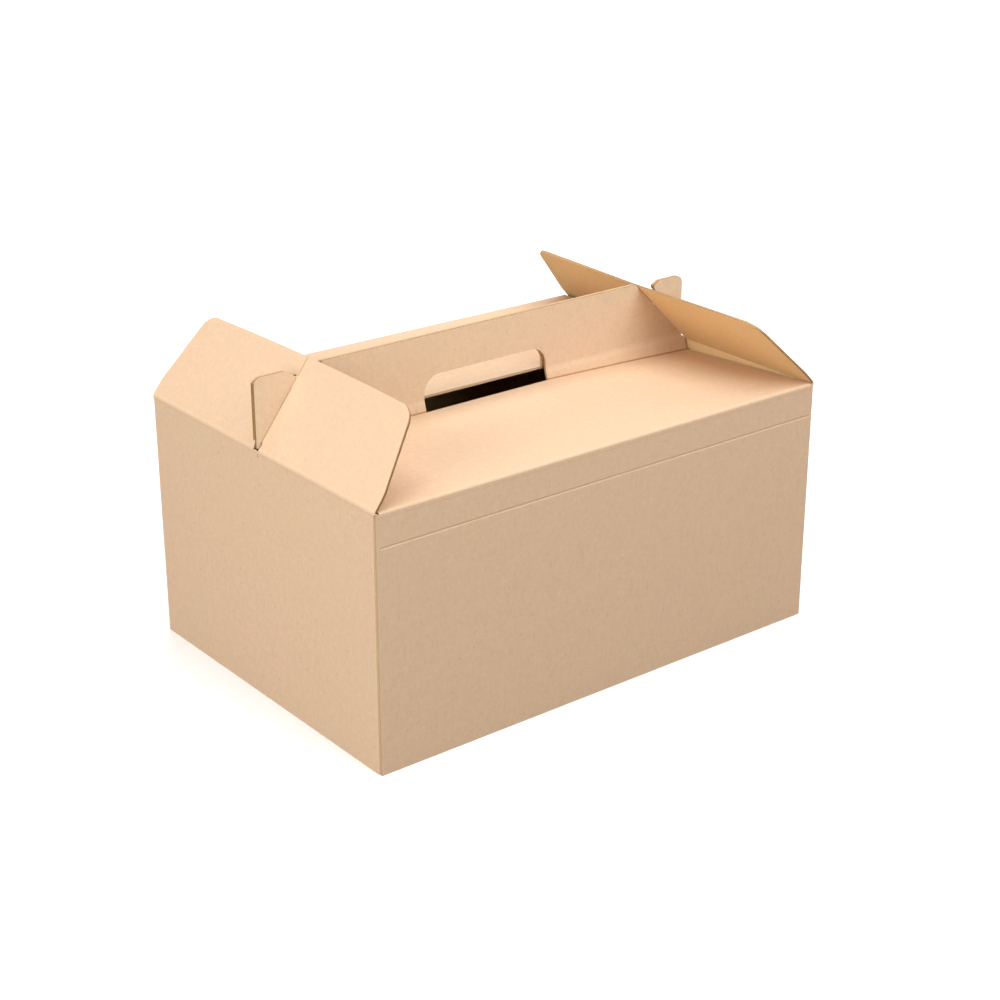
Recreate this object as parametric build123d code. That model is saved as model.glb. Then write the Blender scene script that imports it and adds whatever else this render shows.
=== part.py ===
from build123d import *
import os
from math import cos, hypot, radians, sin, tan

# Carry-out meal box, folded from one sheet of micro-flute corrugated board.
# Millimetres. X runs along the long front wall, -Y is the front, Z is up.
# The origin is the middle of the footprint, on the ground.

# Box
length = 314.0
width = 222.0
height = 150.0
board = 1.5
corner_radius = 1.1
glue_tab_width = 30.0
glue_edge_setback = 0.6
glue_bite = 0.1

# Scored line across the front and back walls, pressed into the outer liner
score_drop = 20.0
score_width = 1.6
score_depth = 0.4

# Lids: the front one sags towards the fold of the handle, the back one springs up off its wall
lid_crease_radius = 1.1
front_lid_end_gap = 1.2
back_lid_end_gap = 4.2
lid_joint_drop = 5.0
front_lid_sag = 3.0
front_lid_end_dip = 3.8
back_lid_rise = 0.8
back_lid_left_lift = 3.6
back_lid_right_lift = 1.5

# Handle: one panel on each lid, back to back. Their feet stand apart by a bow or flare, given at six
# places along the box: both ends, the inner ends of the hooks and the ends of the hand hole
handle_height = 41.4
handle_fold_radius = 1.2
handle_panel_gap = 0.2
front_foot_flares = (0.4, 0.6, 2.2, 2.2, 3.8, 4.6)
foot_flare_height = 3.4
foot_flare_radius = 8.0
back_foot_bows = (0.0, 0.0, 2.2, 2.2, 0.0, 0.0)
handle_left_setback = 0.0
handle_right_setback = 5.0

# Hand hole, its flat side on the folds
hole_length = 89.0
hole_shift = -1.2
hole_height = 17.5
hole_radius = 11.0

# Hooks at both ends of the handle, and the notch behind each nose
hook_height = 40.7
hook_arc_radius = 44.9
hook_corner_radius = 4.5
nose_radius = 1.8
notch_width = 7.3
notch_depth_radius = 36.5
hook_foot_clearance = 1.1

# End flaps
flap_depth = 57.4
flap_edge_bow = 1.6
flap_root_straight = 10.0
flap_root_radius = 30.0
flap_taper_angle = 14.0
flap_corner_radius = 11.5
flap_root_trim = 0.5
flap_gap = 0.3
crease_groove = 0.9
slot_width = 4.0
slot_clearance = 0.7
slot_corner_radius = 1.0
relief_radius = 3.1
ridge_width = 7.0
notch_clearance = 0.3
left_flap_angle = 53.0
left_front_wing_angle = 53.8
left_back_wing_angle = 52.6
right_flap_angle = 45.3
right_front_wing_angle = 46.3
right_back_wing_angle = 48.0

# Snap-lock bottom: layers lie on each other with a hair of air between
layer_gap = 0.2
bottom_side_gap = 1.9
outer_flap_depth = 99.0
bottom_overlap = 16.0
outer_flap_side_cut = 16.0
outer_flap_shoulder = 22.0
tongue_width = 90.0
tongue_ramp = 27.0
tongue_length = 18.0
recess_clearance = 3.0
inner_flap_rise = 26.0
inner_flap_side_gap = 5.0
side_flap_depth = 105.0
side_flap_rise = 14.0
side_flap_tip_width = 96.0

half_length = length / 2
half_width = width / 2
mid = board / 2
layer = board + layer_gap
handle_left = -half_length + handle_left_setback
handle_right = half_length - handle_right_setback
lid_half_length = {-1: half_length - board - front_lid_end_gap, 1: half_length - board - back_lid_end_gap}
inner_flap_depth = width - outer_flap_depth + bottom_overlap


def offset_points(points, distance):
    """Moves an open polyline sideways by a distance, with mitred corners."""
    normals = []
    for (x0, y0), (x1, y1) in zip(points, points[1:]):
        run = hypot(x1 - x0, y1 - y0)
        normals.append((-(y1 - y0) / run, (x1 - x0) / run))
    moved = []
    for i, (x, y) in enumerate(points):
        before = normals[max(i - 1, 0)]
        after = normals[min(i, len(normals) - 1)]
        share = distance / (1 + before[0] * after[0] + before[1] * after[1])
        moved.append((x + share * (before[0] + after[0]), y + share * (before[1] + after[1])))
    return moved


def turn(a, b, c):
    """Tells which way a path turns at b: 1 to the left, -1 to the right."""
    cross = (b[0] - a[0]) * (c[1] - b[1]) - (b[1] - a[1]) * (c[0] - b[0])
    return 1 if cross > 0 else -1


def folded_section(points, bend_radii):
    """Gives the cut face of one board that follows a path, with a round bend at each inner point."""
    turns = [turn(*points[i:i + 3]) for i in range(len(points) - 2)]
    left_radii = [r - s * mid for r, s in zip(bend_radii, turns)]
    right_radii = [r + s * mid for r, s in zip(bend_radii, turns)]
    left_points = offset_points(points, mid)
    right_points = offset_points(points, -mid)
    left_side = FilletPolyline(*left_points, radius=left_radii)
    right_side = FilletPolyline(*right_points, radius=right_radii)
    near_end = Line(left_points[0], right_points[0])
    far_end = Line(left_points[-1], right_points[-1])
    return make_face([*left_side.edges(), *right_side.edges(), near_end.edge(), far_end.edge()])


def walls():
    """Makes the four walls as one strip that ends in the glue tab behind the front wall."""
    x_mid = half_length - mid
    y_mid = half_width - mid
    tab_y = -y_mid + board - glue_bite
    tab_to_back = folded_section(
        [(-half_length + glue_tab_width, tab_y), (-x_mid, tab_y), (-x_mid, y_mid), (x_mid / 2, y_mid)],
        [corner_radius] * 2)
    back_to_front = folded_section(
        [(-x_mid / 2, y_mid), (x_mid, y_mid), (x_mid, -y_mid), (-half_length + glue_edge_setback, -y_mid)],
        [corner_radius] * 2)
    tube = extrude(tab_to_back + back_to_front, height)
    for side in (-1, 1):
        lid_seat = Box(2 * lid_half_length[side], 4 * board, 2 * lid_joint_drop)
        tube -= Pos(0, side * half_width, height) * lid_seat
    return tube


def bevel_end_wall(side, flap_angle):
    """Gives the wedge cut off an end wall's top, on the bisector of the wall and its flap, with the
    groove of the crease along its outer edge."""
    slope = tan(radians(flap_angle / 2))
    edge = side * half_length
    inner = side * (half_length - 4 * board)
    wedge = make_face(Polyline(
        (edge, height - crease_groove), (edge - side * crease_groove, height - crease_groove * slope),
        (inner, height - 4 * board * slope), (inner, height + 1), (edge + side, height + 1),
        (edge + side, height - crease_groove), close=True))
    return extrude(Plane.XZ * wedge, half_width + board, both=True)


def score_line(side):
    """Gives the shallow groove that a scoring wheel leaves across a long wall."""
    face_y = side * half_width
    bottom_y = side * (half_width - score_depth)
    z = height - score_drop
    groove = make_face(Polyline((face_y, z + score_width / 2), (bottom_y, z), (face_y, z - score_width / 2),
                                close=True))
    return extrude(Plane.YZ * groove, half_length - corner_radius - board, both=True)


def lid_strip(side, crease_lifts, fold_rise, end_dip):
    """Makes a long wall's top, its lid and its handle panel as one bent board, before its outline is cut.

    The board is ruled between cross sections, so that the folds bow apart along the hand hole and dip
    at the right end. The front panel stands upright through the slots and flares out only at its foot.
    crease_lifts are how far the lid's crease stands over the wall at its two ends."""
    hook_inner = half_length - hook_arc_radius
    outer_end = half_length + board
    places = (-outer_end, -hook_inner, -hole_length / 2, hole_length / 2, hook_inner, outer_end)
    bows = front_foot_flares if side < 0 else back_foot_bows
    dips = (0.0, 0.0, 0.0, 0.0, end_dip / 2, end_dip)
    top_y = handle_panel_gap / 2 + mid
    left_lift, right_lift = crease_lifts
    sections = []
    for x, bow, dip in zip(places, bows, dips):
        crease_z = height - mid + left_lift + (right_lift - left_lift) * (x / length + 0.5)
        path = [
            (side * (half_width - mid), height - lid_joint_drop),
            (side * (half_width - mid), crease_z),
            (side * (top_y + bow), crease_z + fold_rise - dip),
            (side * top_y, height + handle_height + board),
        ]
        bends = [lid_crease_radius, handle_fold_radius]
        if side < 0:
            path.insert(3, (side * top_y, height + foot_flare_height))
            bends.append(foot_flare_radius)
        section_plane = Plane(origin=(x, 0, 0), x_dir=(0, 1, 0), z_dir=(1, 0, 0))
        sections.append(section_plane * folded_section(path, bends))
    return loft(sections, ruled=True)


def handle_end(end_x, inward, setback):
    """Gives the outline of one end of the handle: its hook, the notch behind the nose and the slanted
    edge under the end flap. inward is 1 at the left end and -1 at the right end, and setback is how far
    the hook stands inside the end wall."""
    lean = radians(right_flap_angle)
    along = (cos(lean), sin(lean))
    above = (-sin(lean), cos(lean))
    edge_drop = board + notch_clearance
    start = (-setback - above[0] * edge_drop, -above[1] * edge_drop)
    foot_x = start[0] - start[1] / tan(lean)
    top_x = start[0] + (handle_height - start[1]) / tan(lean)
    reach = (handle_right - handle_left) / 2
    body = make_face(Polyline((foot_x, 0), (top_x, handle_height), (reach, handle_height), (reach, 0),
                              close=True))
    hook = Rectangle(hook_arc_radius, hook_height, align=(Align.MIN, Align.MIN)) & Circle(hook_arc_radius)
    outer_corner = hook.vertices().sort_by(Axis.X)[:2].sort_by(Axis.Y)[-1]
    hook = fillet(outer_corner, hook_corner_radius)
    notch_start = notch_depth_radius + notch_width / 2
    notch_middle = (start[0] + above[0] * notch_width / 2, start[1] + above[1] * notch_width / 2)
    notch_root = (notch_middle[0] + along[0] * notch_start, notch_middle[1] + along[1] * notch_start)
    notch_far = (notch_root[0] + along[0] * handle_height, notch_root[1] + along[1] * handle_height)
    notch = SlotCenterToCenter(handle_height, notch_width)
    notch = Rot(0, 0, right_flap_angle) * notch
    notch = Pos((notch_root[0] + notch_far[0]) / 2, (notch_root[1] + notch_far[1]) / 2) * notch
    outline = hook + body - notch
    on_arc = outline.vertices().filter_by(lambda v: abs(hypot(v.X, v.Y) - hook_arc_radius) < 0.01)
    nose = on_arc.sort_by(Axis.X)[-1]
    outline = fillet(nose, nose_radius)
    if inward < 0:
        outline = mirror(outline, about=Plane.YZ)
    return Pos(end_x, height) * outline


def lid_and_handle_outline(side, lid_tops):
    """Gives the front view that a lid with its handle panel is cut to: lid, handle and hooks. lid_tops
    are the heights of the lid over the end walls at its two ends, which the feet of the hooks clear."""
    outline = handle_end(handle_left, 1, handle_left_setback)
    outline += handle_end(handle_right, -1, handle_right_setback)
    half = lid_half_length[side]
    foot_length = 2 * (half_length + board - half)
    for end, lid_top in zip((-1, 1), lid_tops):
        foot_gap = 2 * (lid_top + hook_foot_clearance)
        outline -= Pos(end * (half_length + board), height) * Rectangle(foot_length, foot_gap)
    top = max(lid_tops) + hook_foot_clearance
    lid_zone = Rectangle(2 * half, height / 2 + top, align=(Align.CENTER, Align.MAX))
    return outline + Pos(0, height + top) * lid_zone


def hand_hole():
    """Gives the punch that opens both handle panels down to their folds."""
    low = height - front_lid_sag - 2 * board
    hole_top = height + hole_height
    hole = Pos(hole_shift, (low + hole_top) / 2) * Rectangle(hole_length, hole_top - low)
    hole = fillet(hole.vertices().group_by(Axis.Y)[-1], hole_radius)
    punch_reach = handle_panel_gap / 2 + board + max(front_foot_flares[2:4]) + layer_gap
    return extrude(Plane.XZ * hole, punch_reach, both=True)


def bottom_outer_flap():
    """Makes the flap of the front wall, which lies outermost and tucks its tongue inside."""
    root_y = -half_width
    free_y = root_y + outer_flap_depth
    root_half = half_length - outer_flap_side_cut
    outline = make_face(Polyline(
        (-root_half, root_y), (root_half, root_y),
        (root_half - outer_flap_shoulder, free_y), (-root_half + outer_flap_shoulder, free_y), close=True))
    plate = extrude(outline, board)
    tongue_top = 3 * layer + mid
    path = [(free_y - 2 * board, mid), (free_y, mid), (free_y + tongue_ramp, tongue_top),
            (free_y + tongue_ramp + tongue_length, tongue_top)]
    tongue = extrude(Plane.YZ * folded_section(path, [4.0, 4.0]), tongue_width / 2, both=True)
    return plate + tongue


def bottom_inner_flap():
    """Makes the flap of the back wall, which is folded in first and holds the recess for the tongue."""
    root_y = half_width - mid
    free_y = half_width - inner_flap_depth
    top = 2 * layer + mid
    path = [(root_y, board + mid), (root_y, mid), (root_y - inner_flap_rise, top), (free_y, top)]
    half = half_length - inner_flap_side_gap
    flap = extrude(Plane.YZ * folded_section(path, [handle_fold_radius, 4.0]), half, both=True)
    recess_back = -half_width + outer_flap_depth + tongue_ramp
    recess_length = recess_back - free_y
    recess = Box(tongue_width + 2 * recess_clearance, 2 * recess_length, 8 * layer)
    recess = fillet(recess.edges().filter_by(Axis.Z), recess_clearance)
    return flap - Pos(0, free_y, 0) * recess


def bottom_side_flap(side):
    """Makes the flap of an end wall, which lies between the inner and the outer flap."""
    root_x = side * (half_length - mid)
    top = layer + mid
    path = [(root_x, board + mid), (root_x, mid), (root_x - side * side_flap_rise, top),
            (root_x - side * side_flap_depth, top)]
    strip = extrude(Plane.XZ * folded_section(path, [handle_fold_radius, 4.0]), half_width, both=True)
    front_y = -half_width + board + bottom_side_gap
    back_y = half_width - inner_flap_rise - bottom_side_gap
    tip_x = half_length - side_flap_depth
    middle_y = (front_y + back_y) / 2
    outline = make_face(Polyline(
        (side * (half_length + 1), front_y), (side * (half_length - side_flap_rise), front_y),
        (side * tip_x, middle_y - side_flap_tip_width / 2),
        (side * tip_x, middle_y + side_flap_tip_width / 2),
        (side * (half_length - side_flap_rise), back_y), (side * (half_length + 1), back_y), close=True))
    return strip & extrude(outline, 4 * layer)


def carton():
    """Joins walls, lids, handle and bottom into the one folded and glued sheet."""
    shell = walls()
    shell -= bevel_end_wall(-1, left_flap_angle)
    shell -= bevel_end_wall(1, right_flap_angle)
    for side in (-1, 1):
        shell -= score_line(side)
    back_lifts = (back_lid_left_lift, back_lid_right_lift)
    back_tops = [lift + back_lid_rise for lift in back_lifts]
    lids = (
        (-1, (0.0, 0.0), (0.0, 0.0), -front_lid_sag, front_lid_end_dip),
        (1, back_lifts, back_tops, back_lid_rise, 0.0),
    )
    punch = hand_hole()
    for side, lifts, tops, rise, dip in lids:
        cutter = extrude(Plane.XZ * lid_and_handle_outline(side, tops), half_width + board, both=True)
        shell += (lid_strip(side, lifts, rise, dip) & cutter) - punch
    shell += bottom_outer_flap()
    shell += bottom_inner_flap()
    for side in (-1, 1):
        shell += bottom_side_flap(side)
    return shell


def flap_outline():
    """Gives the flat outline of an end flap: x across the box, y away from the crease."""
    root_half = half_width - flap_root_trim
    corner_depth = flap_depth - flap_edge_bow
    free_half = root_half - (corner_depth - flap_root_straight) * tan(radians(flap_taper_angle))
    free_edge = ThreePointArc((free_half, corner_depth), (0, flap_depth), (-free_half, corner_depth))
    sides = Polyline((-free_half, corner_depth), (-root_half, flap_root_straight), (-root_half, 0),
                     (root_half, 0), (root_half, flap_root_straight), (free_half, corner_depth))
    outline = make_face([free_edge.edge(), *sides.edges()])
    free_corners = [v for v in outline.vertices() if v.Y > corner_depth - 1]
    outline = fillet(free_corners, flap_corner_radius)
    root_corners = [v for v in outline.vertices() if abs(v.Y - flap_root_straight) < 0.01]
    return fillet(root_corners, flap_root_radius)


def flap_slot(slot_end):
    """Gives the slot of an end flap, which starts on the crease in a round relief, in the same place."""
    slot = Pos(0, -board) * Rectangle(slot_width, slot_end + board, align=(Align.CENTER, Align.MIN))
    slot = fillet(slot.vertices().group_by(Axis.Y)[-1], slot_corner_radius)
    return slot + Pos(0, relief_radius) * Circle(relief_radius)


def end_flap(side, flap_angle, wing_angles, hook_setback):
    """Makes an end flap that leans inward from the crease on its end wall. Its two wings rise from a
    narrow ridge around the slot, which is as long as the hook's nose reaches from the crease."""

    def section(y, angle):
        lean = radians(angle)
        along = (-side * cos(lean), sin(lean))
        under = (-side * sin(lean), -cos(lean))
        bevel = board * tan(lean / 2)
        groove = (flap_gap + crease_groove * tan(lean / 2), crease_groove)
        corners = []
        for s, w in ((flap_gap + crease_groove, 0), (flap_depth + 2, 0), (flap_depth + 2, board),
                     (flap_gap + bevel, board), groove):
            x = side * half_length + along[0] * s + under[0] * w
            z = height + along[1] * s + under[1] * w
            corners.append((x, y, z))
        return make_face(Polyline(*corners, close=True))

    lean = radians(flap_angle)
    punch_plane = Plane(origin=(side * half_length, 0, height), x_dir=(0, side, 0),
                        z_dir=(side * sin(lean), 0, cos(lean))).offset(5 * board)
    slot_end = hook_arc_radius + hook_setback + slot_clearance
    outline = extrude(punch_plane * (flap_outline() - flap_slot(slot_end)), -10 * board)
    ridge = loft([section(-ridge_width / 2, flap_angle), section(ridge_width / 2, flap_angle)], ruled=True)
    flap = ridge & outline
    for y_side, angle in zip((-1, 1), wing_angles):
        wing = loft([section(y_side * ridge_width / 2, flap_angle), section(y_side * half_width, angle)],
                    ruled=True)
        flap += wing & outline
    return flap


left_wings = (left_front_wing_angle, left_back_wing_angle)
right_wings = (right_front_wing_angle, right_back_wing_angle)
parts = {
    "carton": carton(),
    "left_end_flap": end_flap(-1, left_flap_angle, left_wings, handle_left_setback),
    "right_end_flap": end_flap(1, right_flap_angle, right_wings, handle_right_setback),
}

os.makedirs("parts", exist_ok=True)
for name, shape in parts.items():
    export_step(shape, f"parts/{name}.step")
    print(name, "solids", len(shape.solids()), "volume", round(shape.volume))
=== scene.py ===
import bpy
from math import radians, sin, cos, tan, pi
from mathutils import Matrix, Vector


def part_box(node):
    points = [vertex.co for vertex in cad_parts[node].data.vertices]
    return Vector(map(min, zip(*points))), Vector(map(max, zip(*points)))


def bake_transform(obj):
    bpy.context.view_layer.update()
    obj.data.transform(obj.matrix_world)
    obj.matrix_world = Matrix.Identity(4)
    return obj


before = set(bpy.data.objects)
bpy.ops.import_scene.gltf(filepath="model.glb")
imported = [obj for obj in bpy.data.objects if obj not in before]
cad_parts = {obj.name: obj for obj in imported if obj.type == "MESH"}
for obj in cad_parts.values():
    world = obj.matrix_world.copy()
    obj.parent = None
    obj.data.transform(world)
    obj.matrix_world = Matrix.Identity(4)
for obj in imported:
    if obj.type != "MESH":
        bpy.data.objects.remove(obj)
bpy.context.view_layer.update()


# Carton
# Walls, lids, handle panels and bottom are one sheet of brown micro-flute board: two kraft liners
# with a fluted sheet between them, die-cut, creased, folded and glued along one corner.
board = 0.0015
flute_pitch = 0.0033
half_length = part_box("carton")[1].x
half_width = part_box("carton")[1].y
wall_height = 0.150
kraft_brown = (0.672, 0.467, 0.305, 1.0)
kraft_pink = (0.678, 0.464, 0.307, 1.0)
kraft_straw = (0.670, 0.470, 0.302, 1.0)
# Tints over the liner: none outside; a whiter painted light on the handle panels; a warm painted
# bounce light on inner faces under the lids and flaps.
outside_tint = (1.0, 1.0, 1.0, 1.0)
handle_painted_light = (1.01, 1.09, 1.14, 1.0)
inside_painted_bounce = (1.05, 1.02, 0.77, 1.0)
# The cut edge's paper; its paler copy, painted on upward edges as if lit; and the painted shadow in
# the flute hollows.
edge_paper = (0.500, 0.300, 0.135, 1.0)
edge_paper_lit = (0.600, 0.425, 0.270, 1.0)
flute_hollow_shadow = (0.240, 0.120, 0.042, 1.0)


def add_node(tree, kind, **values):
    """Adds a node, sets its properties and gives it back."""
    made = tree.nodes.new(kind)
    for name, value in values.items():
        setattr(made, name, value)
    return made


def feed(tree, socket, value):
    """Links a socket to another one, or writes a plain value on it."""
    if isinstance(value, bpy.types.NodeSocket):
        tree.links.new(value, socket)
    else:
        socket.default_value = value


def calculate(tree, operation, first, second=0.0, third=0.0):
    """Adds one Math node and gives back its result."""
    made = add_node(tree, "ShaderNodeMath", operation=operation)
    for socket, value in zip(made.inputs, (first, second, third)):
        feed(tree, socket, value)
    return made.outputs[0]


def in_turn(tree, operation, values):
    """Takes values together, one after the other, with one kind of Math node."""
    result = values[0]
    for value in values[1:]:
        result = calculate(tree, operation, result, value)
    return result


def product(tree, *values):
    """Gives the product of values. Of masks, it is where all of them are."""
    return in_turn(tree, "MULTIPLY", values)


def total(tree, *values):
    """Gives the sum of values."""
    return in_turn(tree, "ADD", values)


def largest(tree, *values):
    """Gives the largest of values. Of masks, it is where any of them is."""
    return in_turn(tree, "MAXIMUM", values)


def less(tree, first, second):
    """Gives first less second."""
    return calculate(tree, "SUBTRACT", first, second)


def all_but(tree, mask):
    """Gives a mask's opposite."""
    return less(tree, 1.0, mask)


def unsigned(tree, value):
    """Gives a value without its sign."""
    return calculate(tree, "ABSOLUTE", value)


def above(tree, value, limit):
    """Gives 1 where a value is over a limit, else 0."""
    return calculate(tree, "GREATER_THAN", value, limit)


def below(tree, value, limit):
    """Gives 1 where a value is under a limit, else 0."""
    return calculate(tree, "LESS_THAN", value, limit)


def band(tree, value, centre, half_reach):
    """Gives 1 where a value is within half_reach of centre, else 0."""
    return calculate(tree, "COMPARE", value, centre, half_reach)


def scaled(tree, value, factor, start):
    """Gives start plus factor times a value."""
    return calculate(tree, "MULTIPLY_ADD", value, factor, start)


def distance_to(tree, first, second):
    """Gives the length of a pair of offsets."""
    squares = total(tree, product(tree, first, first), product(tree, second, second))
    return calculate(tree, "SQRT", squares)


def ramp_between(tree, value, low, high):
    """Gives 0 below low, 1 above high and a smooth step between them."""
    made = add_node(tree, "ShaderNodeMapRange", interpolation_type="SMOOTHSTEP")
    feed(tree, made.inputs["Value"], value)
    feed(tree, made.inputs["From Min"], low)
    feed(tree, made.inputs["From Max"], high)
    return made.outputs["Result"]


def rise(tree, value, start, end, height):
    """Gives 0 up to start, height from end on, and a straight slope between them."""
    made = add_node(tree, "ShaderNodeMapRange")
    feed(tree, made.inputs["Value"], value)
    for name, number in (("From Min", start), ("From Max", end), ("To Max", height)):
        made.inputs[name].default_value = number
    return made.outputs["Result"]


def split_axes(tree, vector):
    """Gives the three parts of a vector."""
    made = add_node(tree, "ShaderNodeSeparateXYZ")
    feed(tree, made.inputs["Vector"], vector)
    return made.outputs["X"], made.outputs["Y"], made.outputs["Z"]


def object_place(tree):
    """Gives the place on the object."""
    return add_node(tree, "ShaderNodeTexCoord").outputs["Object"]


def stretched(tree, place, scale, turn=(0.0, 0.0, 0.0)):
    """Turns a pattern and draws it out along the axes with a scale below 1."""
    made = add_node(tree, "ShaderNodeMapping")
    feed(tree, made.inputs["Vector"], place)
    made.inputs["Scale"].default_value = scale
    made.inputs["Rotation"].default_value = turn
    return made.outputs["Vector"]


def noise(tree, place, scale, detail, roughness=0.5):
    """Gives the value of a noise texture."""
    made = add_node(tree, "ShaderNodeTexNoise")
    feed(tree, made.inputs["Vector"], place)
    made.inputs["Scale"].default_value = scale
    made.inputs["Detail"].default_value = detail
    made.inputs["Roughness"].default_value = roughness
    return made.outputs["Fac"]


def mix_colour(tree, share, first, second, blend_type="MIX"):
    """Mixes two colours by a share and gives back the result."""
    made = add_node(tree, "ShaderNodeMix", data_type="RGBA", blend_type=blend_type)
    feed(tree, made.inputs["Factor"], share)
    feed(tree, made.inputs["A"], first)
    feed(tree, made.inputs["B"], second)
    return made.outputs["Result"]


def shaded(tree, colour, shade):
    """Multiplies a colour by another one."""
    return mix_colour(tree, 1.0, colour, shade, "MULTIPLY")


def new_group(name, inputs, outputs):
    """Starts a shader node group with named sockets, and gives back its tree and its two ends."""
    tree = bpy.data.node_groups.new(name, "ShaderNodeTree")
    for label, kind in inputs:
        tree.interface.new_socket(label, in_out="INPUT", socket_type=kind)
    for label, kind in outputs:
        tree.interface.new_socket(label, in_out="OUTPUT", socket_type=kind)
    return tree, add_node(tree, "NodeGroupInput"), add_node(tree, "NodeGroupOutput")


def fine_specks(tree, place):
    """Finds rare dark specks, in one cell of some thirty."""
    cells_per_metre, empty_share, speck_core, speck_edge = 210.0, 0.965, 0.10, 0.22
    cells = add_node(tree, "ShaderNodeTexVoronoi")
    feed(tree, cells.inputs["Vector"], place)
    cells.inputs["Scale"].default_value = cells_per_metre
    draw = add_node(tree, "ShaderNodeSeparateColor")
    feed(tree, draw.inputs["Color"], cells.outputs["Color"])
    chosen = above(tree, draw.outputs["Red"], empty_share)
    near = ramp_between(tree, cells.outputs["Distance"], low=speck_edge, high=speck_core)
    return product(tree, chosen, near)


def kraft_paper_group():
    """Unbleached liner: soft blotches, cloudy pulp, short fibres, rare specks, and the paper's
    tooth and uneven gloss."""
    cloud_mean, cloud_contrast = 0.5, 0.19
    dark_fibre_shade, light_fibre_shade, speck_shade = 0.070, 0.060, 0.13
    tooth_height, cloud_height = 0.00003, 0.00005
    least_roughness, roughness_spread = 0.74, 0.16
    tree, given, result = new_group(
        "kraft_paper",
        [("Brown", "NodeSocketColor"), ("Pink", "NodeSocketColor"), ("Straw", "NodeSocketColor")],
        [("Colour", "NodeSocketColor"), ("Roughness", "NodeSocketFloat"),
         ("Height", "NodeSocketFloat")])
    place = object_place(tree)
    blotch = noise(tree, place, scale=16.0, detail=2.0)
    blotch = ramp_between(tree, blotch, low=0.40, high=0.68)
    tinted = mix_colour(tree, blotch, given.outputs["Brown"], given.outputs["Pink"])
    patch = noise(tree, place, scale=27.0, detail=1.0)
    patch = ramp_between(tree, patch, low=0.50, high=0.74)
    tinted = mix_colour(tree, patch, tinted, given.outputs["Straw"])

    cloud = noise(tree, place, scale=330.0, detail=3.0, roughness=0.65)
    upright = stretched(tree, place, scale=(1.0, 1.0, 0.22))
    dark_fibre = noise(tree, upright, scale=1500.0, detail=1.0)
    dark_fibre = ramp_between(tree, dark_fibre, low=0.60, high=0.72)
    slanted = stretched(tree, place, scale=(0.18, 0.18, 1.0), turn=(0.5, 0.2, 0.7))
    light_fibre = noise(tree, slanted, scale=1300.0, detail=1.0)
    light_fibre = ramp_between(tree, light_fibre, low=0.60, high=0.74)
    value = scaled(tree, less(tree, cloud, cloud_mean), cloud_contrast, 1.0)
    value = less(tree, value, product(tree, dark_fibre, dark_fibre_shade))
    value = total(tree, value, product(tree, light_fibre, light_fibre_shade))
    value = less(tree, value, product(tree, fine_specks(tree, place), speck_shade))
    grey = add_node(tree, "ShaderNodeCombineColor")
    for channel in ("Red", "Green", "Blue"):
        feed(tree, grey.inputs[channel], value)
    feed(tree, result.inputs["Colour"], shaded(tree, tinted, grey.outputs["Color"]))

    tooth = noise(tree, place, scale=1900.0, detail=2.0, roughness=0.6)
    feed(tree, result.inputs["Height"],
         total(tree, product(tree, tooth, tooth_height), product(tree, cloud, cloud_height)))
    feed(tree, result.inputs["Roughness"], scaled(tree, cloud, roughness_spread, least_roughness))
    return tree


def wave_along(tree, across, pitch):
    """Gives a wave of one turn for each flute."""
    turns = calculate(tree, "DIVIDE", across, pitch)
    return calculate(tree, "SINE", product(tree, turns, 2 * pi))


def flute_waves_group():
    """Washboard: the flutes show through the liner as faint ridges, unevenly glued."""
    drift_reach, wave_shade, wave_height = 0.0012, 0.007, 0.00002
    tree, given, result = new_group(
        "flute_waves", [("Across", "NodeSocketFloat"), ("Pitch", "NodeSocketFloat")],
        [("Shade", "NodeSocketFloat"), ("Height", "NodeSocketFloat")])
    place = object_place(tree)
    drift = product(tree, noise(tree, place, scale=22.0, detail=1.0), drift_reach)
    wave = wave_along(tree, total(tree, given.outputs["Across"], drift), given.outputs["Pitch"])
    glued = noise(tree, place, scale=45.0, detail=2.0)
    wave = product(tree, wave, ramp_between(tree, glued, low=0.30, high=0.75))
    feed(tree, result.inputs["Shade"], scaled(tree, wave, wave_shade, 1.0))
    feed(tree, result.inputs["Height"], product(tree, wave, wave_height))
    return tree


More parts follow.
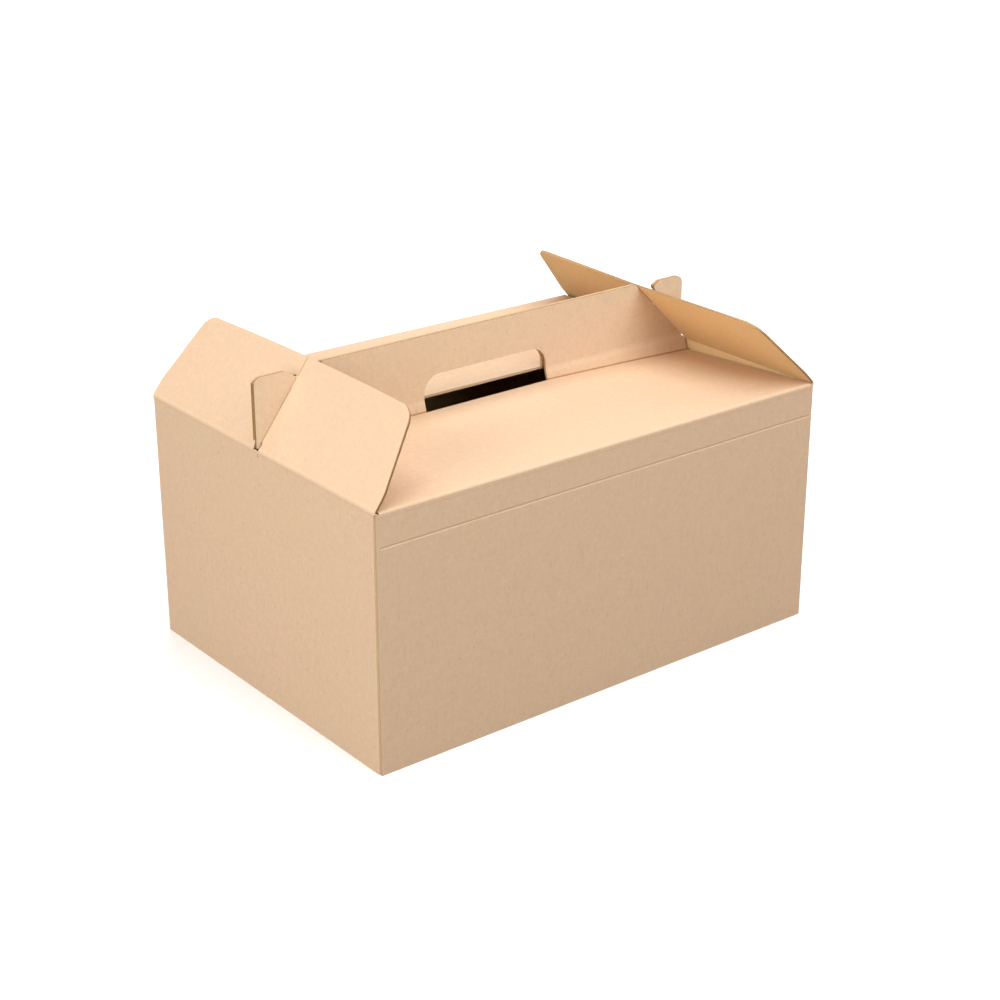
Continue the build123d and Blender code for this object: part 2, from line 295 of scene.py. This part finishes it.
def cut_edge_group():
    """Die-cut edge of the board: two liners, the wave of the fluted sheet, and painted shadow in
    the hollows between them. On edges marked lit, a paler paper colour takes the shadow's place:
    painted light."""
    tree, given, result = new_group(
        "cut_edge",
        [("Depth", "NodeSocketFloat"), ("Across", "NodeSocketFloat"), ("Board", "NodeSocketFloat"),
         ("Pitch", "NodeSocketFloat"), ("Lit", "NodeSocketFloat"), ("Paper", "NodeSocketColor"),
         ("Lit paper", "NodeSocketColor"), ("Hollow shadow", "NodeSocketColor")],
        [("Colour", "NodeSocketColor")])
    middle_depth, wave_reach = 0.5, 0.30
    sheet_core, sheet_edge, sheet_light = 0.06, 0.13, 0.8
    liner_edge, liner_core = 0.36, 0.42
    least_paper, ragged_paper, least_lit_share = 0.4, 0.6, 0.5
    depth = calculate(tree, "DIVIDE", given.outputs["Depth"], given.outputs["Board"])
    wave = wave_along(tree, given.outputs["Across"], given.outputs["Pitch"])
    off_sheet = unsigned(tree, less(tree, depth, scaled(tree, wave, wave_reach, middle_depth)))
    sheet = ramp_between(tree, off_sheet, low=sheet_edge, high=sheet_core)
    off_middle = unsigned(tree, less(tree, depth, middle_depth))
    liner = ramp_between(tree, off_middle, low=liner_edge, high=liner_core)
    ragged = noise(tree, object_place(tree), scale=1100.0, detail=2.0, roughness=0.7)
    ragged = ramp_between(tree, ragged, low=0.35, high=0.70)
    paper = largest(tree, product(tree, sheet, sheet_light), liner)
    paper = product(tree, paper, scaled(tree, ragged, ragged_paper, least_paper))
    shaded_edge_colour = mix_colour(tree, paper, given.outputs["Hollow shadow"], given.outputs["Paper"])
    lit_share = scaled(tree, paper, 1.0 - least_lit_share, least_lit_share)
    lit_edge_colour = mix_colour(tree, lit_share, given.outputs["Paper"], given.outputs["Lit paper"])
    feed(tree, result.inputs["Colour"],
         mix_colour(tree, given.outputs["Lit"], shaded_edge_colour, lit_edge_colour))
    return tree


kraft_paper = kraft_paper_group()
flute_waves = flute_waves_group()
cut_edge = cut_edge_group()


def place_group(tree, group, values):
    """Puts a group in a material with its own values."""
    made = add_node(tree, "ShaderNodeGroup", node_tree=group)
    for name, value in values.items():
        feed(tree, made.inputs[name], value)
    return made


def board_material(name, board_places):
    """Makes a board material. board_places gives, in this material's tree, the place across the
    flutes, the depth through the board, the painted light and shade of its fold lines (for a
    crease, its own paler tone and crazes), the masks of the cut edges and of the upward ones
    painted paler as if lit, and a tint that paints light on the handle and warm bounce light on
    inner faces. A shade takes more of the blue than of the red, so that dark lines look warm."""
    shade_powers = {"Red": 0.75, "Green": 1.0, "Blue": 1.3}
    paper_specular = 0.25
    made = bpy.data.materials.new(name)
    made.use_nodes = True
    tree = made.node_tree
    shader = tree.nodes["Principled BSDF"]
    across, depth, lines, edge, lit_edges, painted_light_tint = board_places(tree)
    paper = place_group(tree, kraft_paper,
                        {"Brown": kraft_brown, "Pink": kraft_pink, "Straw": kraft_straw})
    flutes = place_group(tree, flute_waves, {"Across": across, "Pitch": flute_pitch})
    cut = place_group(tree, cut_edge,
                      {"Depth": depth, "Across": across, "Board": board, "Pitch": flute_pitch,
                       "Lit": lit_edges, "Paper": edge_paper, "Lit paper": edge_paper_lit,
                       "Hollow shadow": flute_hollow_shadow})
    face_colour = shaded(tree, paper.outputs["Colour"], painted_light_tint)
    board_colour = mix_colour(tree, edge, face_colour, cut.outputs["Colour"])
    grey = product(tree, flutes.outputs["Shade"], lines)
    warm_shade = add_node(tree, "ShaderNodeCombineColor")
    for channel, power in shade_powers.items():
        feed(tree, warm_shade.inputs[channel], calculate(tree, "POWER", grey, power))
    feed(tree, shader.inputs["Base Color"],
         shaded(tree, board_colour, warm_shade.outputs["Color"]))
    feed(tree, shader.inputs["Roughness"], paper.outputs["Roughness"])
    shader.inputs["Specular IOR Level"].default_value = paper_specular
    bump = add_node(tree, "ShaderNodeBump")
    bump.inputs["Distance"].default_value = 1.0
    bump.inputs["Strength"].default_value = 1.0
    feed(tree, bump.inputs["Height"],
         total(tree, paper.outputs["Height"], flutes.outputs["Height"]))
    feed(tree, shader.inputs["Normal"], bump.outputs["Normal"])
    return made


def use_material(piece, material):
    """Gives a piece one material."""
    piece.data.materials.clear()
    piece.data.materials.append(material)


def line_shade(tree, distance, core, reach, strength):
    """Gives a painted shade or highlight along a line: 1 away from it and 1 + strength on it, with
    a soft edge between core and reach.
    """
    return scaled(tree, ramp_between(tree, distance, low=reach, high=core), strength, 1.0)


# At the box's left end the fold under the handle lies this far in front of the middle, at this
# height. Between each pair of places along the box it then moves on, forward and down.
fold_forward = 0.0022
fold_height = 0.147
fold_moves = ((-0.1121, -0.0445, 0.0016, 0.0), (0.0445, 0.1121, 0.0016, 0.0019),
              (0.1121, 0.1585, 0.0008, 0.0019))
# The creasing rule's mark, the score and the foot of the rolls lie this far below the walls' top.
# Within groove_end of the corners the score has no groove, only a painted highlight line.
rule_drop = 0.0036
score_drop = 0.0203
roll_drop = 0.0018
groove_end = 0.0027


def carton_fold_light_and_shade(tree, x, y, z):
    """Paints light and shade along the carton's folds: painted shade in the inner corner under the
    handle, painted highlights on the long top creases with a painted shade line at the creasing
    rule's mark below them, painted highlights on the four corners and the ends of the score, and a
    painted shade line at the foot of the end flaps' creases."""
    fold_y, fold_z = y, z
    for start, end, forward, down in fold_moves:
        fold_y = total(tree, fold_y, rise(tree, x, start, end, forward))
        fold_z = total(tree, fold_z, rise(tree, x, start, end, down))
    from_fold = distance_to(tree, total(tree, fold_y, fold_forward),
                            less(tree, fold_z, fold_height))
    from_wall = less(tree, half_width, unsigned(tree, y))
    from_top = less(tree, wall_height, z)
    from_end = less(tree, half_length, unsigned(tree, x))
    from_rule = distance_to(tree, from_wall, less(tree, from_top, rule_drop))
    on_groove = all_but(tree, below(tree, from_end, groove_end))
    from_score = total(tree, distance_to(tree, from_wall, less(tree, from_top, score_drop)),
                       on_groove)
    from_roll = distance_to(tree, from_end, less(tree, from_top, roll_drop))
    # Each row: a line's distance, its sharp core, its soft reach, and its shade: below 0 painted
    # shade, above 0 a painted highlight.
    lines = ((from_fold, 0.0003, 0.0010, -0.55),
             (distance_to(tree, from_wall, from_top), 0.0004, 0.0011, 0.07),
             (from_rule, 0.0002, 0.0006, -0.06),
             (distance_to(tree, from_wall, from_end), 0.0004, 0.0014, 0.05),
             (from_score, 0.0002, 0.0006, 0.07),
             (from_roll, 0.0002, 0.0006, -0.05))
    return product(tree, *(line_shade(tree, *line) for line in lines))


# The two handle panels stand this far above the walls and this near the middle: first at their
# foot, then where they bow out. At the box's ends the hooks' feet reach down to the walls' height.
foot_rise, foot_half = 0.0036, 0.0022
bow_rise, bow_half = 0.0048, 0.0046
hook_start = 0.1500
# The hand hole's cut edges lie within this half length and this near the fold, and the lids' part
# of its rim is straight within rim_half.
hole_half, hole_reach, rim_half = 0.0470, 0.0075, 0.0425
# The lids' cut ends stand back from the box's ends, the back lid's further, and the glue tab's edge
# shows beside the front left corner.
lid_setback, back_lid_further, lid_end_drop = 0.0027, 0.0030, 0.0052
glue_edge = 0.0006
# The handle's painted light fades in between these heights above the walls and these distances from
# the middle.
tint_foot, tint_full = -0.0010, 0.0020
tint_inner, tint_outer = 0.0050, 0.0090
hairline, end_slack = 0.0003, 0.0004
# A face looks along an axis where its normal has more than this much of it.
square_on, turned_round = 0.7, 0.5
lids_above = 0.1
panel_gap = 0.0001
# Along the front handle panel's top edge, within this band, a patchy painted shadow lies in the
# flute hollows.
front_panel, front_panel_half = -0.0010, 0.0009
flute_shadow_strength = -0.45
# The glue tab's edge is painted partly paler, as if lit.
glue_edge_lit = 0.7


def looks_up(tree, nz):
    """Gives 1 on level faces, 0 on upright ones, and a smooth step between them."""
    return ramp_between(tree, nz, low=0.30, high=0.70)


def carton_places(tree):
    """Finds the carton's cut edges, with the upward ones painted paler as if lit; its fold lines
    with their painted light and shade; a patchy painted shadow along the front handle panel's top
    edge;
    and its inner and handle faces, which get painted bounce light and painted light. It goes by
    where they lie and which way they face."""
    coordinates = add_node(tree, "ShaderNodeTexCoord")
    place = coordinates.outputs["Object"]
    x, y, z = split_axes(tree, place)
    nx, ny, nz = split_axes(tree, coordinates.outputs["Normal"])
    side_x = unsigned(tree, x)
    side_y = unsigned(tree, y)
    faces_up = looks_up(tree, nz)
    faces_x = above(tree, unsigned(tree, nx), square_on)
    faces_y = above(tree, unsigned(tree, ny), square_on)

    at_foot = product(tree, above(tree, z, wall_height + foot_rise),
                      below(tree, side_y, foot_half))
    above_foot = product(tree, above(tree, z, wall_height + bow_rise),
                         below(tree, side_y, bow_half))
    hook_foot = product(tree, above(tree, z, wall_height - hairline),
                        above(tree, side_x, hook_start), below(tree, side_y, foot_half))
    in_handle = largest(tree, hook_foot, at_foot, above_foot)
    off_handle = all_but(tree, in_handle)
    handle_cut = product(tree, in_handle, all_but(tree, faces_y))

    near_hole = product(tree, below(tree, side_x, hole_half), below(tree, side_y, hole_reach),
                        above(tree, z, wall_height - hole_reach))
    hole_side = product(tree, near_hole, faces_x)
    lid_rim = product(tree, near_hole, faces_y, below(tree, side_x, rim_half),
                      below(tree, z, wall_height + bow_rise), off_handle)
    lid_reach = less(tree, half_length - lid_setback,
                     product(tree, above(tree, y, 0.0), back_lid_further))
    lid_end = product(tree, band(tree, side_x, lid_reach, end_slack), faces_x,
                      above(tree, z, wall_height - lid_end_drop))
    glue_end = product(tree, band(tree, x, glue_edge - half_length, hairline), faces_x)
    edge = largest(tree, handle_cut, lid_end, glue_end, hole_side, lid_rim)

    in_panel = less(tree, side_y, panel_gap)
    in_wall = less(tree, half_width, side_y)
    in_lid = less(tree, wall_height, z)
    low = total(tree, product(tree, glue_end, in_wall),
                product(tree, largest(tree, lid_end, lid_rim), in_lid))
    depth = total(tree, product(tree, largest(tree, in_handle, hole_side), in_panel),
                  product(tree, off_handle, low))
    along = total(tree, product(tree, all_but(tree, faces_x), x),
                  product(tree, faces_x, off_handle, y), product(tree, faces_x, in_handle, z))

    # A patchy painted shadow in the flute hollows along the front handle panel's top edge.
    front_rim = product(tree, in_handle, faces_up,
                        band(tree, y, front_panel, front_panel_half))
    shadow_breaks = noise(tree, place, scale=500.0, detail=2.0, roughness=0.7)
    flute_shadow = product(tree, front_rim, ramp_between(tree, shadow_breaks, low=0.20, high=0.50))
    lines = product(tree, carton_fold_light_and_shade(tree, x, y, z),
                    scaled(tree, flute_shadow, flute_shadow_strength, 1.0))
    # Upward edges, the hand hole's sides and rim and, partly, the glue tab's edge are painted
    # paler, as if lit.
    lit_edges = largest(tree, faces_up, hole_side, lid_rim, product(tree, glue_end, glue_edge_lit))

    # Inner faces get a warm painted bounce light, the handle panels a whiter painted light.
    turned_x = below(tree, product(tree, nx, calculate(tree, "SIGN", x)), -turned_round)
    turned_y = below(tree, product(tree, ny, calculate(tree, "SIGN", y)), -turned_round)
    under_lid = product(tree, below(tree, nz, -turned_round), above(tree, z, lids_above))
    inside = largest(tree, under_lid, turned_x, turned_y)
    on_handle = product(tree, ramp_between(tree, side_y, low=tint_outer, high=tint_inner),
                        ramp_between(tree, z, wall_height + tint_foot, wall_height + tint_full))
    painted_light_tint = mix_colour(tree, on_handle, outside_tint, handle_painted_light)
    return along, depth, lines, edge, lit_edges, mix_colour(tree, inside, painted_light_tint, inside_painted_bounce)


use_material(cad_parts["carton"], board_material("kraft_board", carton_places))


# End flaps
# The left and right flaps are the same sheet's end panels. They lean inward, their slots held by
# the hooks of the handle, and show the board's cut edge all round.
left_lean = radians(53.0)
right_lean = radians(45.3)
# The ridge is a painted shade line, darker on the left flap; near its crease the flap gets a
# painted highlight. Its upward cut edges are painted a little paler, as if lit.
left_ridge_shade = -0.34
right_ridge_shade = -0.05
ridge_forward, ridge_core, ridge_edge = 0.0018, 0.0002, 0.0007
crease_core, crease_reach, crease_highlight = 0.0008, 0.0026, 0.04
slot_end = 0.0456
along_sheet = 0.6
flap_edge_lit = 0.35


def part_along(tree, vector, direction):
    """Gives how far a vector goes in a direction."""
    made = add_node(tree, "ShaderNodeVectorMath", operation="DOT_PRODUCT")
    feed(tree, made.inputs[0], vector)
    made.inputs[1].default_value = direction
    return made.outputs["Value"]


def flap_places(side, lean, ridge_shade):
    """Gives the function that finds one flap's cut edges, all that faces along the sheet, with the
    upward ones painted a little paler as if lit; its inner face, which gets a warm painted bounce
    light; a painted shade line along the faint ridge from its slot to its free edge; and a painted
    highlight along its crease."""
    outward = Vector((side * sin(lean), 0.0, cos(lean)))
    up_the_flap = Vector((-side * cos(lean), 0.0, sin(lean)))

    def places(tree):
        coordinates = add_node(tree, "ShaderNodeTexCoord")
        place = coordinates.outputs["Object"]
        y = split_axes(tree, place)[1]
        nz = split_axes(tree, coordinates.outputs["Normal"])[2]
        crease_offset = add_node(tree, "ShaderNodeVectorMath", operation="SUBTRACT")
        feed(tree, crease_offset.inputs[0], place)
        crease_offset.inputs[1].default_value = (side * half_length, 0.0, wall_height)
        from_crease = crease_offset.outputs["Vector"]
        reach = part_along(tree, from_crease, up_the_flap)
        depth = product(tree, part_along(tree, from_crease, outward), -1.0)

        facing = part_along(tree, coordinates.outputs["Normal"], outward)
        edge = below(tree, unsigned(tree, facing), along_sheet)
        inside = below(tree, facing, -along_sheet)
        lit_edges = product(tree, looks_up(tree, nz), flap_edge_lit)
        from_ridge = unsigned(tree, total(tree, y, ridge_forward))
        ridge = product(tree, ramp_between(tree, from_ridge, low=ridge_edge, high=ridge_core),
                        above(tree, reach, slot_end))
        lines = product(tree, scaled(tree, ridge, ridge_shade, 1.0),
                        line_shade(tree, reach, crease_core, crease_reach, crease_highlight))
        return y, depth, lines, edge, lit_edges, mix_colour(tree, inside, outside_tint, inside_painted_bounce)

    return places


use_material(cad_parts["left_end_flap"],
             board_material("kraft_left_flap", flap_places(-1, left_lean, left_ridge_shade)))
use_material(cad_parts["right_end_flap"],
             board_material("kraft_right_flap", flap_places(1, right_lean, right_ridge_shade)))


# Left crease
# Between the left wall and its flap the outer liner turns the corner in a soft roll. The creasing
# rule has flattened the flutes under it, so the paper there is smooth; it is painted a little
# paler.
# The flap's slot reaches into the crease, so the roll has a front and a back length.
relief_half = 0.0024
root_half = half_width - 0.0006
roll_sides = 128
roll_half_arc = radians(33.0)
smooth_below = radians(30.0)
left_roll_radius = 0.0034
paler_fold, craze_shade = 1.045, -0.06


def crease_places(tree):
    """Gives a crease's paper: no cut edges, painted a little paler, with short crazes across the
    fold.
    """
    place = object_place(tree)
    y = split_axes(tree, place)[1]
    drawn_out = stretched(tree, place, scale=(0.25, 1.0, 0.25))
    craze = noise(tree, drawn_out, scale=900.0, detail=2.0, roughness=0.7)
    craze = ramp_between(tree, craze, low=0.56, high=0.74)
    return y, 0.0, scaled(tree, craze, craze_shade, paler_fold), 0.0, 0.0, outside_tint


crease_paper = board_material("kraft_crease", crease_places)


def crease_roll(name, side, lean, radius, y_low, y_high):
    """Models a length of rolled liner that touches the wall's and the flap's outer faces."""
    half_angle = (radians(90.0) + lean) / 2
    inward = Vector((-side * sin(half_angle), 0.0, -cos(half_angle)))
    crease = Vector((side * half_length, (y_low + y_high) / 2, wall_height))
    centre = crease + inward * (radius / sin(half_angle))
    bpy.ops.object.select_all(action="DESELECT")
    bpy.ops.mesh.primitive_cylinder_add(vertices=roll_sides, radius=radius, depth=y_high - y_low,
                                        location=centre, rotation=(pi / 2, 0.0, 0.0))
    roll = bpy.context.object
    roll.name = name
    bpy.ops.object.transform_apply(location=True, rotation=True, scale=True)
    bpy.ops.object.mode_set(mode="EDIT")
    bpy.ops.mesh.select_all(action="SELECT")
    bpy.ops.mesh.bisect(plane_co=centre - inward * (radius * cos(roll_half_arc)),
                        plane_no=inward, use_fill=True, clear_outer=True)
    bpy.ops.mesh.select_all(action="SELECT")
    bpy.ops.mesh.normals_make_consistent(inside=False)
    bpy.ops.object.mode_set(mode="OBJECT")
    bpy.ops.object.shade_smooth_by_angle(angle=smooth_below)
    use_material(roll, crease_paper)
    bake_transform(roll)


crease_roll("left_crease_front", -1, left_lean, left_roll_radius, -root_half, -relief_half)
crease_roll("left_crease_back", -1, left_lean, left_roll_radius, relief_half, root_half)


# Right crease
# The same roll of liner turns the corner between the right wall and its flap. That flap leans
# further inward, which draws the roll tighter.
right_roll_radius = 0.0028
crease_roll("right_crease_front", 1, right_lean, right_roll_radius, -root_half, -relief_half)
crease_roll("right_crease_back", 1, right_lean, right_roll_radius, relief_half, root_half)


# Floor
# A plain white studio floor, bright for the camera, that keeps the box's soft shadow. Far from the
# box it fades into the white backdrop.
floor_size = 12.0
floor_grey = (0.16, 0.16, 0.16, 1.0)
floor_white = (0.97, 0.97, 0.97, 1.0)
floor_roughness = 0.9
fade_start, fade_end = 0.40, 0.90


def seen_directly(tree):
    """Gives 1 for rays from the camera, also by a mirror or through glass, and 0 for soft light."""
    paths = add_node(tree, "ShaderNodeLightPath")
    return largest(tree, paths.outputs["Is Camera Ray"], paths.outputs["Is Glossy Ray"],
                   paths.outputs["Is Transmission Ray"])


bpy.ops.object.select_all(action="DESELECT")
bpy.ops.mesh.primitive_plane_add(size=floor_size, location=(0.0, 0.0, 0.0))
floor = bpy.context.object
floor.name = "floor"
floor_material = bpy.data.materials.new("white_floor")
floor_material.use_nodes = True
floor_tree = floor_material.node_tree
floor_shader = floor_tree.nodes["Principled BSDF"]
seen = seen_directly(floor_tree)
feed(floor_tree, floor_shader.inputs["Base Color"],
     mix_colour(floor_tree, seen, floor_grey, floor_white))
floor_x, floor_y = split_axes(floor_tree, object_place(floor_tree))[:2]
far = ramp_between(floor_tree, distance_to(floor_tree, floor_x, floor_y), fade_start, fade_end)
floor_shader.inputs["Emission Color"].default_value = (1.0, 1.0, 1.0, 1.0)
feed(floor_tree, floor_shader.inputs["Emission Strength"], product(floor_tree, seen, far))
floor_shader.inputs["Roughness"].default_value = floor_roughness
use_material(floor, floor_material)


# Light and background
# Soft boxes overhead, in front, at the left, high at the right and low behind, in a dim white room.
# The backdrop is white for the camera alone.
box_middle = (0.0, 0.0, 0.1)
room_glow = 0.08


def soft_box(name, place, size, watts):
    """Adds a square soft box that points at the middle of the box."""
    lamp = bpy.data.lights.new(name, "AREA")
    lamp.shape = "SQUARE"
    lamp.size = size
    lamp.energy = watts
    holder = bpy.data.objects.new(name, lamp)
    bpy.context.scene.collection.objects.link(holder)
    holder.location = place
    aim = Vector(box_middle) - Vector(place)
    holder.rotation_euler = aim.to_track_quat("-Z", "Y").to_euler()


soft_box("overhead_light", place=(0.0, 0.0, 1.7), size=1.6, watts=25.4)
soft_box("front_light", place=(0.2, -1.5, 1.0), size=1.2, watts=18.5)
soft_box("left_light", place=(-1.5, -0.3, 0.6), size=1.0, watts=21.0)
soft_box("right_light", place=(1.1, 0.0, 1.3), size=1.2, watts=5.8)
soft_box("back_light", place=(0.9, 1.3, 0.45), size=1.2, watts=14.0)

room = bpy.data.worlds.new("white_room")
bpy.context.scene.world = room
room.use_nodes = True
room_tree = room.node_tree
room_light = room_tree.nodes["Background"]
room_light.inputs["Color"].default_value = (1.0, 1.0, 1.0, 1.0)
feed(room_tree, room_light.inputs["Strength"],
     scaled(room_tree, seen_directly(room_tree), 1.0 - room_glow, room_glow))


# Camera
# It looks down at the front left corner from about a metre and a quarter away, through a portrait
# lens. The corner's edge stands a little left of the middle of the picture.
picture_side = 1000.0
focal_pixels = 2021.78
sensor_width = 36.0
camera_place = (-0.68012, -0.87199, 0.54656)
camera_yaw = radians(38.366)
camera_pitch = radians(22.886)
lens = bpy.data.cameras.new("photo_camera")
lens.sensor_width = sensor_width
lens.lens = focal_pixels / picture_side * sensor_width
camera = bpy.data.objects.new("photo_camera", lens)
bpy.context.scene.collection.objects.link(camera)
camera.location = camera_place
camera.rotation_euler = (radians(90.0) - camera_pitch, 0.0, -camera_yaw)
bpy.context.scene.camera = camera
bpy.context.scene.view_settings.view_transform = "Standard"
